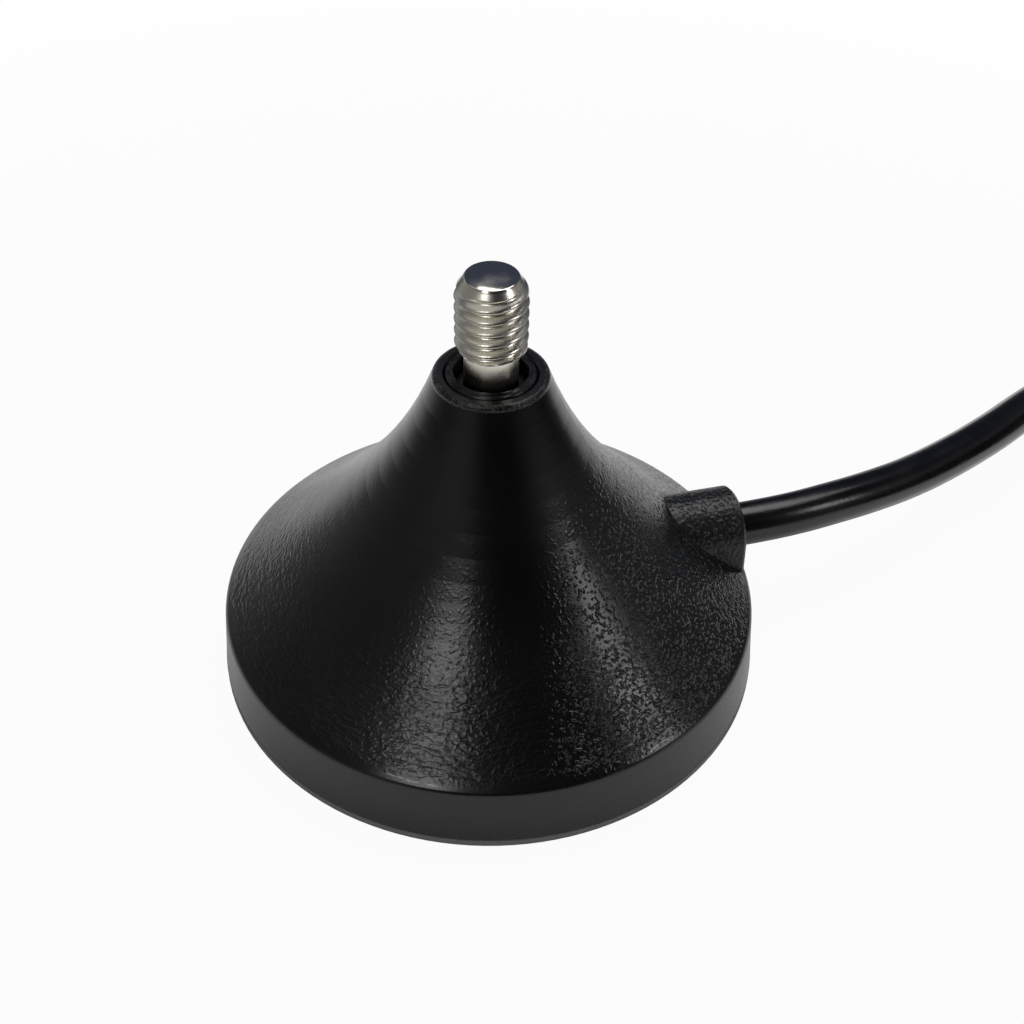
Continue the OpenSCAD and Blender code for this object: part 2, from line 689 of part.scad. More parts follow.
module plug_pin() {
    color(gold) at_plug() rotate_extrude() polygon([
        [0, pin_rear], [shank_d / 2, pin_rear], [shank_d / 2, -0.1], [pin_d / 2, 0],
        [pin_d / 2, pin_out - 0.4], [pin_d / 2 - 0.12, pin_out - 0.12],
        [pin_d / 2 - 0.3, pin_out], [0, pin_out]]);
}

module plug_core() {
    color([0.93, 0.93, 0.90]) at_plug() translate([0, 0, jacket_rear])
        cylinder(h = pin_rear - jacket_rear, d = min(dielectric_d, stem_bore_d - 0.1));
}

// Tube with a hex-crimped stretch over the stem
module crimp_ferrule() {
    crimp_front = body_rear - 1.6;
    crimp_len = stem_len - 2.4;
    color(gold) at_plug() difference() {
        intersection() {
            translate([0, 0, ferrule_rear])
                cylinder(h = ferrule_front - ferrule_rear, d = ferrule_d);
            union() {
                translate([0, 0, crimp_front])
                    cylinder(h = 20, d = ferrule_d + 1);
                translate([0, 0, crimp_front - crimp_len - 0.01])
                    cylinder(h = crimp_len + 0.02, d = crimp_af / cos(30), $fn = 6);
                translate([0, 0, ferrule_rear - 1])
                    cylinder(h = crimp_front - crimp_len - ferrule_rear + 1,
                        d = ferrule_d + 1);
            }
        }
        translate([0, 0, ferrule_rear - 1]) cylinder(h = 20, d = ferrule_bore_d);
    }
}

module heat_shrink() {
    step = 0.8;
    color([0.05, 0.05, 0.06]) at_plug() rotate_extrude() polygon([
        [shrink_in_d / 2, shrink_front], [shrink_in_d / 2, ferrule_rear - 0.1],
        [shrink_neck_d / 2, ferrule_rear - step], [shrink_neck_d / 2, shrink_rear],
        [shrink_neck_d / 2 + shrink_wall, shrink_rear],
        [shrink_neck_d / 2 + shrink_wall, ferrule_rear - step],
        [shrink_out_d / 2, ferrule_rear - 0.1], [shrink_out_d / 2, shrink_front]]);
}

housing();
insulator_bush();
antenna_stud();
insulating_washer();
solder_tag();
lock_washer();
stud_nut();
ring_magnet();
backing_plate();
bottom_pad();
cable_crimp_ring();
cable_dielectric();
centre_conductor();
braid_pigtail();
cable_lead();
cable_coil();
cable_tail();
coil_tie_a();
coil_tie_b();
plug_body();
coupling_nut();
retaining_ring();
plug_gasket();
plug_insulator();
plug_pin();
plug_core();
crimp_ferrule();
heat_shrink();
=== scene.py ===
# %% [markdown]
# # A magnetic antenna base with its cable and plug
# The object is a small black moulded base, shaped like the bell of a trumpet. A magnet inside it
# holds it on a steel roof, and a threaded metal stud in its neck carries the whip. A thin coaxial
# cable leaves through a boss on the side and ends in a screw-on plug.
# The CAD model gives every size and place in metres, and it stays as it is. This file dresses it:
# it gives each solid a finish, and replaces the few whose shape is finer than a plain solid.

import math

import bmesh
import bpy
from mathutils import Matrix, Vector
from mathutils.geometry import interpolate_bezier


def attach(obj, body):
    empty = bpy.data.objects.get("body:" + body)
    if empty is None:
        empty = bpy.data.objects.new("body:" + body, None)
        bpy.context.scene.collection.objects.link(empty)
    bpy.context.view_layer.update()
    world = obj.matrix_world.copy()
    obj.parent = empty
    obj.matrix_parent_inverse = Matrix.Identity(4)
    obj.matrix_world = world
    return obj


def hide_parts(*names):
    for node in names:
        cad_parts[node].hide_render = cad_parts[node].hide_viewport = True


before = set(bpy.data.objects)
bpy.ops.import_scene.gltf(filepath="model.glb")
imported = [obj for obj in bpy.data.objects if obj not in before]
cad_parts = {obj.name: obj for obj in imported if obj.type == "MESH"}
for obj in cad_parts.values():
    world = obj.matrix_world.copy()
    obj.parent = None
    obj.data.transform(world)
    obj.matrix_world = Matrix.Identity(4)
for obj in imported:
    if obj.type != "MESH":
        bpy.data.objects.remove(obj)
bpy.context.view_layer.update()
MM = 0.001

# %% [markdown]
# ## Camera
# A photograph of a round object fixes its camera well: the rim, the neck and the stud's tip are
# circles at known heights, and each one shows as an ellipse. Where the camera stood, which way it
# looked and how long its lens was were solved from those outlines. The picture is 1024 pixels
# wide, so a focal length of 1500 pixels is 52.7 mm on a sensor 36 mm wide.

# %% Camera
eye = Vector((-0.073, -65.834, 68.236)) * MM
yaw, pitch, roll = 0.0205862, 0.7236113, -0.0203274
forward = Vector((math.sin(yaw) * math.cos(pitch), math.cos(yaw) * math.cos(pitch),
                  -math.sin(pitch)))
level = Vector((math.cos(yaw), -math.sin(yaw), 0))
under = forward.cross(level)
right = math.cos(roll) * level + math.sin(roll) * under
down = math.cos(roll) * under - math.sin(roll) * level

lens = bpy.data.cameras.new("camera")
lens.sensor_fit, lens.sensor_width = "HORIZONTAL", 36
lens.lens = 36 * 1500 / 1024
lens.clip_start = 0.004
camera = bpy.data.objects.new("camera", lens)
axes = Matrix((right, -down, -forward)).transposed().to_4x4()
camera.matrix_world = Matrix.Translation(eye) @ axes
bpy.context.collection.objects.link(camera)
bpy.context.scene.camera = camera
print("camera at", [round(n / MM, 1) for n in eye], "mm, lens", round(lens.lens, 1), "mm")

# %% [markdown]
# ## The cable's route
# The cable is one length of coax, 2.8 mm thick and 1.5 m long from the boss to the plug. It leaves
# the boss level and straight, sinks to the table in one wide curve as the photograph shows, and
# the rest is wound into a round coil outside the picture. The points are the ones that the CAD
# model uses, in millimetres.
# A coil could be drawn as one helix, but real turns lie in rows. So a turn keeps its row for most
# of the way round, and then moves over by one row, or up by one layer. The moves follow each
# other in an order in which no turn ever meets another.

# %% Route of the cable: the coil
CABLE_D = 2.8
PITCH = 2.85
COIL = Vector((70, 8.4, 0.37))
COIL_R = 38.6 / 2
MOVE, LATER = 110.0, 38.5


def moved(angle, start):
    """How far a move that begins at this angle has got, from 0 to 1, as a smooth step."""
    share = min(max((angle - start) / MOVE, 0), 1)
    return (1 - math.cos(math.pi * share)) / 2


in_bottom = 360 - MOVE
up_second = in_bottom - LATER
out_second = up_second - LATER
up_third = out_second - LATER
in_top = up_third - LATER
off_top = in_top - LATER
moves = [(in_bottom + 360 * n, -1, 0) for n in range(3)]
moves += [(up_second + 360 * 3, 0, 1)]
moves += [(out_second + 360 * n, 1, 0) for n in (4, 5, 6)]
moves += [(up_third + 360 * 7, 0, 1)]
moves += [(in_top + 360 * n, -1, 0) for n in (8, 9, 10)]
moves += [(off_top + 360 * 11, 0, 1 + 0.39 / PITCH)]


def wound(angle):
    """The point of the winding after so many degrees, clockwise from where the lead comes in."""
    row = 3 + sum(side * moved(angle, start) for start, side, up in moves)
    layer = sum(up * moved(angle, start) for start, side, up in moves)
    radius = COIL_R + (row - 1.5) * PITCH
    turn = math.radians(92 - angle)
    return COIL + Vector((radius * math.cos(turn), radius * math.sin(turn),
                          CABLE_D / 2 + 0.05 + layer * PITCH))


last_angle = 11 * 360 + 244
coil_points = [wound(15 * n) for n in range(1, last_angle // 15 + 1)]
print("the coil has", round(last_angle / 360, 2), "turns")

# %% [markdown]
# The lead and the tail are measured points. Real coax is springy, so both run in wide curves, and
# the tail rises off the last turn to the plug, which rests on top of the coil.

# %% Route of the cable: the two ends
BOSS_TURN = math.radians(14)
BOSS_OUT = Vector((math.cos(BOSS_TURN), math.sin(BOSS_TURN), 0))
BOSS_AXIS = Vector((0, 0, 5.75))
BOSS_REACH = 15.6
inside = [BOSS_OUT * r + BOSS_AXIS for r in (BOSS_REACH / 3, BOSS_REACH * 2 / 3, BOSS_REACH)]
lead = [(16.4, 4.1, 5.75), (19, 4.95, 5.7), (21.7, 6.2, 5.5), (24.7, 7.9, 5.1), (27.8, 10, 4.6),
        (31.2, 12.7, 4.1), (34.9, 16, 3.6), (37.8, 18.9, 3.15), (41, 22, 2.65),
        (44.6, 25.2, 2.15), (48.6, 28.1, 1.75), (53, 30.4, 1.5), (57.6, 31.8, 1.45),
        (62, 32.35, 1.5), (66, 32.2, 1.68), (69, 31.9, 1.82)]
tail = [(-14.27, -4.36, 10.45), (-14.66, -1.52, 10.68), (-14.37, 1.34, 11.02),
        (-13.42, 4.05, 11.45), (-11.87, 6.46, 11.92), (-9.8, 8.44, 12.4), (-7.32, 9.89, 12.78),
        (-4.58, 10.71, 13.06)]
PLUG_TURN = math.radians(10)
PLUG = Vector((87.5, 23, 8.89 + 4 / math.cos(math.radians(30))))
PLUG_OUT = Vector((math.cos(PLUG_TURN), math.sin(PLUG_TURN), 0))

route = inside + [Vector(p) for p in lead] + coil_points
route += [COIL + Vector(p) for p in tail] + [PLUG + PLUG_OUT * u for u in (-18.05, -14.8)]
run = sum((b - a).length for a, b in zip(route, route[1:]))
print(len(route), "points,", round(run), "mm of cable")

# %% [markdown]
# ## The cable
# A jacketed cable is a plain round tube along its route. A Bezier curve with automatic handles
# passes through every point without a kink, and its bevel gives it the round section. The curve is
# then made a mesh, whose size can be measured, and its own line is kept as the cable's path.

# %% Cable
def cable_tube(name, points, diameter):
    """A round cable along points in millimetres: its mesh, and the line that it follows."""
    data = bpy.data.curves.new(name, "CURVE")
    data.dimensions = "3D"
    data.resolution_u = data.render_resolution_u = 4
    data.bevel_depth = diameter / 2 * MM
    data.bevel_resolution = 4
    data.use_fill_caps = True
    spline = data.splines.new("BEZIER")
    spline.bezier_points.add(len(points) - 1)
    for knot, point in zip(spline.bezier_points, points):
        knot.co = point * MM
        knot.handle_left_type = knot.handle_right_type = "AUTO"
    drawn = bpy.data.objects.new(name, data)
    bpy.context.collection.objects.link(drawn)
    scene_now = bpy.context.evaluated_depsgraph_get()
    mesh = bpy.data.meshes.new_from_object(drawn.evaluated_get(scene_now))
    knots = list(spline.bezier_points)
    line = [point for a, b in zip(knots, knots[1:]) for point in
            interpolate_bezier(a.co, a.handle_right, b.handle_left, b.co, 5)[:4]] + [knots[-1].co]
    line = [tuple(point) for point in line]
    bpy.data.objects.remove(drawn)
    mesh.shade_smooth()
    made = bpy.data.objects.new(name, mesh)
    bpy.context.collection.objects.link(made)
    print(name, len(mesh.polygons), "faces along", len(line), "points")
    return made, line


cable, cable_line = cable_tube("coax_cable", route, CABLE_D)
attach(cable, "base")
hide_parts("cable_lead", "cable_coil", "cable_tail")

# %% [markdown]
# ## Helpers for the pieces
# Each new piece starts as a bmesh, which is a mesh that can be worked on with the same operators
# as in the editor. The helper welds its seams, turns its faces outwards, shades it smooth up to
# an angle, and hangs the piece on the part of the frame that it moves with.

# %% From a bmesh to a piece
def piece(name, shape, body, nodes=(), angle=35):
    """The finished bmesh as an object that rides on a body and stands for CAD nodes."""
    bmesh.ops.remove_doubles(shape, verts=shape.verts, dist=0.0002 * MM)
    bmesh.ops.recalc_face_normals(shape, faces=shape.faces)
    for face in shape.faces:
        face.smooth = True
    for edge in shape.edges:
        edge.smooth = len(edge.link_faces) == 2 and edge.calc_face_angle(0) < math.radians(angle)
    mesh = bpy.data.meshes.new(name)
    shape.to_mesh(mesh)
    shape.free()
    made = bpy.data.objects.new(name, mesh)
    bpy.context.collection.objects.link(made)
    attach(made, body)
    if nodes:
        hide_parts(*nodes)
    print(name, len(mesh.polygons), "faces")
    return made


def polyline(shape, points):
    """Connected edges through points, each given in millimetres."""
    verts = [shape.verts.new(Vector(p) * MM) for p in points]
    return verts + [shape.edges.new(pair) for pair in zip(verts, verts[1:])]


# %% [markdown]
# ## The threaded stud
# The whip screws on this nickel-plated stud. Its thread is rolled: a groove that climbs 0.7 mm in
# each turn of a 4 mm rod, and that the plating rounds at its crest and root, like a soft wave.
# The spin operator can climb while it turns, so one tooth's outline is spun round the axis and
# lifted by one pitch in each turn. The lathe turned a cone on the tip and a neck under the
# thread, so every vertex that stands outside that outline is drawn in to it.

# %% Thread of the stud
THREAD_PITCH = 0.7
THREAD_FOOT, THREAD_TOP = 21.6, 26.1
MIDDLE, DEPTH, TOOTH_STEPS = 1.815, 0.37, 14
TOOTH = [(MIDDLE - DEPTH / 2 * math.cos(math.tau * n / TOOTH_STEPS),
          THREAD_PITCH * n / TOOTH_STEPS) for n in range(TOOTH_STEPS + 1)]
OUTLINE = [(THREAD_FOOT, 1.5), (21.95, 1.93), (22.1, 2.0), (25.3, 2.0), (25.62, 1.88),
           (26.0, 1.62), (THREAD_TOP, 1.55)]


def outline_radius(z):
    """The turned outline's radius at a height."""
    for (z0, r0), (z1, r1) in zip(OUTLINE, OUTLINE[1:]):
        if z <= z1:
            return r0 + (r1 - r0) * max(z - z0, 0) / (z1 - z0)
    return OUTLINE[-1][1]


def screw(shape, tooth, pitch, start_z, turns, steps=72):
    """A tooth's outline spun round the axis, climbing one pitch in each turn."""
    start = polyline(shape, [(r, 0, start_z + z) for r, z in tooth])
    bmesh.ops.spin(shape, geom=start, cent=(0, 0, 0), axis=(0, 0, 1),
                   dvec=(0, 0, pitch * MM / steps), angle=math.tau * turns,
                   steps=steps * turns, use_merge=False, use_duplicate=False)
    bmesh.ops.remove_doubles(shape, verts=shape.verts, dist=0.001 * MM)


def cut_ends(shape, foot, top):
    """Cuts off what stands below one height or above another."""
    for end, way in ((foot, -1), (top, 1)):
        bmesh.ops.bisect_plane(shape, geom=shape.verts[:] + shape.edges[:] + shape.faces[:],
                               dist=0.0005 * MM, plane_co=(0, 0, end * MM),
                               plane_no=(0, 0, way), clear_outer=True)


stud = bmesh.new()
screw(stud, TOOTH, THREAD_PITCH, 20.9, 9)
cut_ends(stud, THREAD_FOOT, THREAD_TOP)
for vert in stud.verts:
    reach, limit = vert.co.xy.length, outline_radius(vert.co.z / MM) * MM
    if reach > limit:
        vert.co.xy *= limit / reach
print("thread of", len(stud.faces), "faces, pitch", THREAD_PITCH, "mm")

# %% [markdown]
# The rest of the stud has no thread, so it is turned: the flat tip with its rounded edge, the
# thinner neck under the thread, the shoulder in the bush, and the tail that the nut clamps.

# %% Tip, neck and tail of the stud
def turned(shape, outline, steps=96):
    """A turned solid: an outline of (radius, height) spun once round the axis."""
    start = polyline(shape, [(r, 0, z) for r, z in outline])
    bmesh.ops.spin(shape, geom=start, cent=(0, 0, 0), axis=(0, 0, 1), angle=math.tau,
                   steps=steps, use_merge=True, use_duplicate=False)


turned(stud, [(0, 26.27), (1.4, 26.27), (1.44, 26.26), (1.48, 26.22), (1.53, 26.13),
              (1.55, THREAD_TOP)])
turned(stud, [(1.5, THREAD_FOOT), (1.5, 19.44), (1.54, 19.4), (1.92, 19.4), (1.95, 19.37),
              (1.95, 15), (1.5, 15), (1.5, 6.3), (1.2, 6), (0, 6)])
antenna_stud = piece("antenna_stud_threaded", stud, "base", ["antenna_stud"])

# %% [markdown]
# ## The coupling nut
# The nut that pulls the plug on its socket starts as a turned blank, bored and threaded inside.
# Then six flats are milled on it. So the blank's outline is spun, and every vertex that stands
# outside a flat is pressed in to it, which leaves the round bevels at the nut's corners.

# %% Blank and flats of the nut
NUT_FLAT, NUT_CORNER = 4.0, 4.0 / math.cos(math.radians(30))
NUT_FRONT, NUT_REAR = 3.4, -5.1
NUT_THREAD, NUT_PITCH = (-1.6, 3.05), 25.4 / 36
BEVEL = [(3.9 + (NUT_CORNER - 3.9) * n / 5, 0.45 * n / 5) for n in range(6)]
nut = bmesh.new()
turned(nut, [(3.15, NUT_FRONT)] + [(r, NUT_FRONT - h) for r, h in BEVEL]
       + [(r, NUT_REAR + h) for r, h in BEVEL[::-1]]
       + [(2.35, NUT_REAR), (2.35, -4.55), (2.75, -4.55), (2.75, -3.95), (2.35, -3.95), (2.35, -3.5),
          (3.2, -3.5), (3.2, NUT_THREAD[0])])
for n in range(6):
    turn = math.radians(60 * n + 30)
    outward = Vector((math.cos(turn), math.sin(turn), 0))
    for vert in nut.verts:
        vert.co -= outward * max(vert.co.dot(outward) - NUT_FLAT * MM, 0)
print("nut", len(nut.faces), "faces")

# %% [markdown]
# Inside, the same climbing spin as on the stud cuts the thread, with its crests inwards. The nut
# is made at the origin and then laid on the plug's axis.

# %% Thread of the nut
def mouth(z):
    """The smallest radius that the boring tool leaves at a height."""
    if z > NUT_THREAD[1]:
        return 2.8 + (z - NUT_THREAD[1])
    return max(2.8, 3.2 - max(z - NUT_THREAD[0], 0))


inner = bmesh.new()
screw(inner, [(3.14, 0), (2.83, 0.18), (2.8, 0.23), (2.8, 0.29), (2.83, 0.34), (3.14, 0.53),
              (3.15, 0.61), (3.14, NUT_PITCH)], NUT_PITCH, -2.3, 9)
cut_ends(inner, NUT_THREAD[0], NUT_FRONT)
for vert in inner.verts:
    reach, least = vert.co.xy.length, mouth(vert.co.z / MM) * MM
    if reach < least:
        vert.co.xy *= least / reach
bored = bpy.data.meshes.new("bored")
inner.to_mesh(bored)
inner.free()
nut.from_mesh(bored)
bpy.data.meshes.remove(bored)
on_plug = (Matrix.Translation(PLUG * MM) @ Matrix.Rotation(PLUG_TURN, 4, "Z")
           @ Matrix.Rotation(math.pi / 2, 4, "Y"))
bmesh.ops.transform(nut, matrix=on_plug, verts=nut.verts)
coupling_nut = piece("coupling_nut_threaded", nut, "nut", ["coupling_nut"], angle=30)

# %% [markdown]
# ## Wire ties
# The spare cable is held by two flat plastic-coated wire ties. Each one goes once round the coil's
# section, and its two ends are twisted together outside. The band is an outline that is extruded
# across, and the twist is two small rings that climb side by side round one axis.

# %% Wire ties
def round_loop(shape, side, under):
    """The rounded outline round the coil's section, in the plane across the cable."""
    half, edge, top = 5.775 + side, CABLE_D / 2, 8.5
    corners = ((half - edge, edge - under, -90), (half - edge, top - edge + under, 0),
               (edge - half, top - edge + under, 90), (edge - half, edge - under, 180))
    points = [(x + edge * math.cos(math.radians(start + 15 * n)), 0,
               z + edge * math.sin(math.radians(start + 15 * n)))
              for x, z, start in corners for n in range(7)]
    verts = [shape.verts.new(Vector(p) * MM) for p in points]
    return [shape.edges.new(pair) for pair in zip(verts, verts[1:] + verts[:1])]


def wire_tie(name, turn):
    """A flat band round the coil's section, with its ends twisted together outside."""
    tie = bmesh.new()
    outer, inner = round_loop(tie, 0.5, 0.37), round_loop(tie, 0.15, 0.02)
    bmesh.ops.bridge_loops(tie, edges=outer + inner)
    bmesh.ops.translate(tie, vec=(0, -1.5 * MM, 0), verts=tie.verts)
    far_side = bmesh.ops.extrude_face_region(tie, geom=tie.faces[:], use_keep_orig=True)["geom"]
    bmesh.ops.translate(tie, vec=(0, 3 * MM, 0),
                        verts=[v for v in far_side if isinstance(v, bmesh.types.BMVert)])
    for side in (-1, 1):
        spot = Matrix.Translation(Vector((6.875 + 0.36 * side, 0, 4.25)) * MM)
        ring = bmesh.ops.create_circle(tie, segments=10, radius=0.33 * MM,
                                       matrix=spot @ Matrix.Rotation(math.pi / 2, 4, "X"))["verts"]
        edges = list({edge for vert in ring for edge in vert.link_edges})
        bmesh.ops.spin(tie, geom=ring + edges, cent=Vector((6.875, 0, 4.25)) * MM, axis=(0, 1, 0),
                       dvec=(0, 0.1 * MM, 0), angle=math.tau * 4.5, steps=80, use_merge=False,
                       use_duplicate=False)
    bmesh.ops.holes_fill(tie, edges=[e for e in tie.edges if e.is_boundary], sides=10)
    place = (Matrix.Translation(COIL * MM) @ Matrix.Rotation(math.radians(turn), 4, "Z")
             @ Matrix.Translation((COIL_R * MM, 0, 0)))
    bmesh.ops.transform(tie, matrix=place, verts=tie.verts)
    return piece(name + "_twisted", tie, "base", [name])


ties = [wire_tie("coil_tie_a", 255), wire_tie("coil_tie_b", 75)]

# %% [markdown]
# ## Finishes
# A finish is a small network of shader nodes. Written out node by node it is hard to read, so one
# small class lets the values be used in plain arithmetic, and another adds any node in one call.

# %% Shader arithmetic
class Wire:
    """One output of a node. Each arithmetic operation on it adds a Math node."""

    def __init__(self, finish, socket):
        self.finish, self.socket = finish, socket

    def math(self, operation, first, second):
        return self.finish.node("ShaderNodeMath", {"operation": operation}, {0: first, 1: second})

    def __add__(self, other):
        return self.math("ADD", self, other)

    def __sub__(self, other):
        return self.math("SUBTRACT", self, other)

    def __rsub__(self, other):
        return self.math("SUBTRACT", other, self)

    def __mul__(self, other):
        return self.math("MULTIPLY", self, other)

    def __truediv__(self, other):
        return self.math("DIVIDE", self, other)

    def __pow__(self, other):
        return self.math("POWER", self, other)

    __radd__, __rmul__ = __add__, __mul__


class Network:
    """A tree of nodes. node() adds any node and gives its output as a wire."""

    def __init__(self, tree):
        self.tree = tree

    def feed(self, socket, value):
        """Links a wire to a socket, or sets the socket to a constant."""
        if isinstance(value, Wire):
            self.tree.links.new(value.socket, socket)
        else:
            socket.default_value = value

    def node(self, kind, settings=None, inputs=None, out=0):
        """Adds a node: its settings first, then its sockets."""
        made = self.tree.nodes.new(kind)
        for key, value in (settings or {}).items():
            setattr(made, key, value)
        for key, value in (inputs or {}).items():
            self.feed(made.inputs[key], value)
        return Wire(self, made.outputs[out])

    def between(self, value, low, high, to_low=0.0, to_high=1.0):
        """The value's range from low to high, spread smoothly over another range."""
        return self.node("ShaderNodeMapRange", {"interpolation_type": "SMOOTHSTEP"},
                         {"Value": value, "From Min": low, "From Max": high,
                          "To Min": to_low, "To Max": to_high})

    def tint(self, share, one, other):
        """A colour that goes from one to the other with a share from 0 to 1."""
        return self.node("ShaderNodeMix", {"data_type": "RGBA"},
                         {0: share, 6: (*one, 1), 7: (*other, 1)}, out=2)


class Finish(Network):
    """One material. Constants are set on its shader, and wires feed whatever varies."""

    def __init__(self, name, colour, roughness, metallic=0.0):
        self.material = bpy.data.materials.new(name)
        self.material.use_nodes = True
        super().__init__(self.material.node_tree)
        self.shader = self.tree.nodes["Principled BSDF"]
        self.set("Base Color", (*colour, 1))
        self.set("Roughness", roughness)
        self.set("Metallic", metallic)
        self.place = self.node("ShaderNodeTexCoord", out="Object")

    def set(self, socket, value):
        """Feeds one socket of the shader with a wire or a constant."""
        self.feed(self.shader.inputs[socket], value)

    def axis(self, number):
        """One of the object's own coordinates: 0, 1 and 2 are x, y and z."""
        return self.node("ShaderNodeSeparateXYZ", {}, {0: self.place}, out=number)

    def noise(self, scale, detail=2.0, distortion=0.0, spot=None):
        """Noise from 0 to 1, with so many grains in a metre."""
        return self.node("ShaderNodeTexNoise", {}, {
            "Vector": spot or self.place, "Scale": scale, "Detail": detail,
            "Distortion": distortion})

    def relief(self, height, depth):
        """Raises the surface by up to a depth in millimetres where height is 1."""
        self.set("Normal", self.node("ShaderNodeBump", {}, {
            "Strength": 1.0, "Distance": depth * MM, "Height": height}))

    def on(self, *objects):
        """Gives the finish to pieces, and to CAD nodes by name."""
        for found in objects:
            data = (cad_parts[found] if isinstance(found, str) else found).data
            data.materials.clear()
            data.materials.append(self.material)
        print(self.material.name, "on", len(objects))


# %% [markdown]
# ## Black moulded plastic
# The base is moulded in black ABS with a satin gloss. The grain isn't the same all over, so the
# finish first finds where a point is: on the boss, on the bell and how far out, or on the neck's
# rounded edge. Each of these is a share from 0 to 1, made from the point's own coordinates.

# %% Moulded plastic: where a point is
BLACK = (0.0028, 0.003, 0.0034)
moulded = Finish("black_moulded_plastic", BLACK, 0.36)
x, y, z = [moulded.axis(n) for n in range(3)]
reach = (x * x + y * y) ** 0.5
along = x * math.cos(BOSS_TURN) + y * math.sin(BOSS_TURN)
across = y * math.cos(BOSS_TURN) - x * math.sin(BOSS_TURN)
over = z - BOSS_AXIS.z * MM
over = over.math("MAXIMUM", over, 0.0)
from_axis = (across * across + over * over) ** 0.5
beside_boss = moulded.between(from_axis, 2.72 * MM, 2.78 * MM)
on_boss = moulded.between(along, 9 * MM, 9.3 * MM) * (1 - beside_boss)
bell = moulded.between(z, 4.05 * MM, 4.5 * MM)
on_foot = bell * moulded.between(reach, 4.5 * MM, 10.5 * MM)
low_foot = bell * moulded.between(reach, 9.5 * MM, 12.5 * MM)
on_edge = moulded.between(z, 19.85 * MM, 20 * MM) * moulded.between(reach, 2.95 * MM, 3.05 * MM)

# %% [markdown]
# The bell has an orange-peel grain, from a mould that was spark-eroded. It is the sum of two
# noises: low ripples that run round the foot, and small knobs, which are stronger on the side of
# the boss. The neck, the rim and the wall are smoother, and the boss is a little rougher.

# %% Moulded plastic: grain of the bell
GRAIN_DEPTH = 0.075
RIPPLE, KNOBS_LEFT, KNOBS_RIGHT, FINE = 0.5, 0.08, 0.87, 0.05
round_it = moulded.node("ShaderNodeCombineXYZ", {}, {
    0: x / reach * 0.011, 1: y / reach * 0.011, 2: (reach - z) * 1.5})
ripple = moulded.noise(2300, detail=1.0, distortion=0.35, spot=round_it)
beads = moulded.noise(4600, detail=0.5)
fine = moulded.noise(9000, detail=2)
wide = moulded.noise(220, detail=2)
to_right = moulded.between(x, 2 * MM, 7 * MM)
knobs = (KNOBS_LEFT + KNOBS_RIGHT * to_right) * moulded.between(beads, 0.5, 0.75) + FINE * fine
grain = RIPPLE * ripple * low_foot + knobs * (0.06 + 0.94 * on_foot)
gloss = moulded.between(wide, 0.3, 0.7, 0.2, 0.26)
moulded.set("Roughness", gloss + 0.05 * fine + 0.12 * on_boss)
moulded.relief(grain * (1 - 0.6 * on_boss) + 0.25 * beads * on_boss + 0.5 * fine * on_edge,
               GRAIN_DEPTH)

# %% [markdown]
# Where the two halves of the mould meet, the rim keeps two short arcs of torn flash, which catch
# the light as a thin wavering line, and the neck's rounded edge catches it in small specks. Both
# are painted highlights: lighter spots in the colour of the same plastic.

# %% Moulded plastic: painted highlights on the flash and the neck's edge
FLASH_ARCS = ((-1.936, -1.92, -1.75, -1.736), (-0.98, -0.97, -0.87, -0.86))
turn = y.math("ARCTAN2", y, x)
arcs = [moulded.between(turn, a, b) * (1 - moulded.between(turn, c, d))
        for a, b, c, d in FLASH_ARCS]
line = reach + 0.5 * MM * moulded.noise(900, detail=3)
line = (moulded.between(line, 15.9 * MM, 15.93 * MM)
        * (1 - moulded.between(line, 15.98 * MM, 16.01 * MM)))
torn = moulded.between(moulded.noise(2600), 0.38, 0.5)
flash_highlight = (arcs[0] + arcs[1]) * line * torn * moulded.between(z, 3.9 * MM, 4 * MM)
edge_specks_highlight = 0.2 * on_edge * moulded.between(moulded.noise(3500), 0.45, 0.6)
# The black is lightened into painted highlights where the flash and the neck's edge catch the light.
moulded.set("Base Color", moulded.tint(flash_highlight + edge_specks_highlight, BLACK, (0.2, 0.2, 0.21)))
moulded.on("housing")

# %% [markdown]
# ## Nickel, bush, pad and jacket
# Nickel plate is bright and a little warm, and smooth on the tip. Below the bush's top it is
# painted dark, as painted shade in the recess round the stud's foot, and the hidden tail and nut
# get the same painted shade. The bush is glossier than the base, the pad is dull and grey, and
# the cable's jacket is soft black plastic with a satin sheen.

# %% Nickel, bush, pad and jacket
NICKEL = (0.90, 0.86, 0.755)
nickel = Finish("nickel_plate", NICKEL, 0.16, 1.0)
polished = nickel.between(nickel.axis(2), 26.1 * MM, 26.25 * MM)
nickel.set("Roughness", nickel.between(nickel.noise(900), 0.3, 0.7, 0.24, 0.34) - 0.16 * polished)
# Painted shade: below the bush's top the nickel turns near black, for the recess round the stud's
# foot, and the hidden tail and nut turn dark too.
recess_shade = 1 - nickel.between(nickel.axis(2), 19.8 * MM, 20.3 * MM)
nickel.set("Base Color", nickel.tint(recess_shade, NICKEL, (0.03, 0.028, 0.025)))
nickel.on(antenna_stud, "stud_nut")

glossy_black = Finish("black_bush_plastic", (0.007, 0.007, 0.008), 0.2)
glossy_black.set("Roughness", glossy_black.between(glossy_black.noise(1500), 0.3, 0.7, 0.14, 0.3))
glossy_black.on("insulator_bush")

pad = Finish("dark_grey_pad", (0.24, 0.24, 0.245), 0.8)
pad.relief(pad.noise(4000), 0.02)
pad.on("bottom_pad")

jacket = Finish("black_soft_jacket", (0.0034, 0.0034, 0.004), 0.34)
jacket.set("Roughness", jacket.between(jacket.noise(500), 0.3, 0.7, 0.2, 0.27))
jacket.relief(jacket.noise(2500, detail=3), 0.008)
jacket.on(cable)

# %% [markdown]
# ## Plug and hidden parts
# The plug and the parts inside the base have the plain finish of what they are made of. Each one
# is a colour whose gloss varies a little from place to place, so one loop makes them all from a
# table: colour, metallic share, grains in a metre, smoothest and roughest gloss, and pieces.

